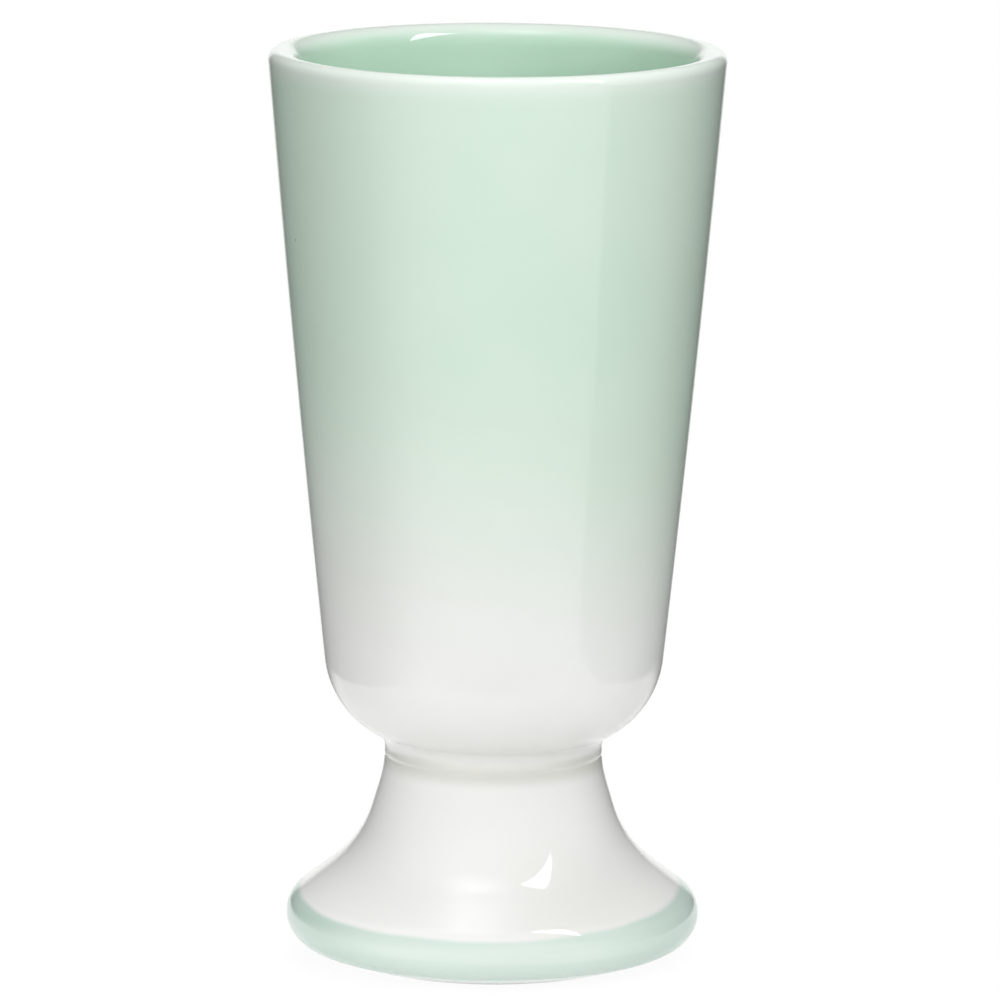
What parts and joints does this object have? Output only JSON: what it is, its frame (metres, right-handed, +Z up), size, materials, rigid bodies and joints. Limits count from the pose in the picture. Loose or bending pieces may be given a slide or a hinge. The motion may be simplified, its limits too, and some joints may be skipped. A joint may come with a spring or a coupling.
{
  "type": "mazagran cup",
  "caption": "Tall tapered porcelain cup on a short flared foot, for coffee or iced drinks, glazed mint inside and over the upper bowl, fading to white, with a mint band on the foot.",
  "frame": {"origin": "centre of the standing ring, on the surface that the cup stands on", "axes": "+Z up along the axis of revolution, through the middle of the lip; the cup is the same all round, so +X and +Y are free"},
  "size_m": [0.0696, 0.0696, 0.14],
  "materials": {
    "porcelain": "fired white porcelain, bare and smooth matt on the standing ring",
    "luting_slip": "fired slip, matt, hidden under the glaze",
    "mint_liner_glaze": "glossy mint glaze, paler where it runs thin over the lip",
    "mint_outer_glaze": "glossy pale mint glaze, fading to white at its lower edge",
    "clear_outer_glaze": "glossy clear glaze over white porcelain",
    "mint_band_glaze": "glossy thin mint band with a slightly uneven upper edge",
    "clear_hollow_glaze": "glossy clear glaze in the hollow of the foot"
  },
  "bodies": {
    "root": {"bowl": "porcelain", "slip_seam": "luting_slip", "foot": "porcelain", "inside_glaze": "mint_liner_glaze", "upper_glaze": "mint_outer_glaze", "lower_glaze": "clear_outer_glaze", "foot_band_glaze": "mint_band_glaze", "foot_hollow_glaze": "clear_hollow_glaze"}
  },
  "joints": []
}
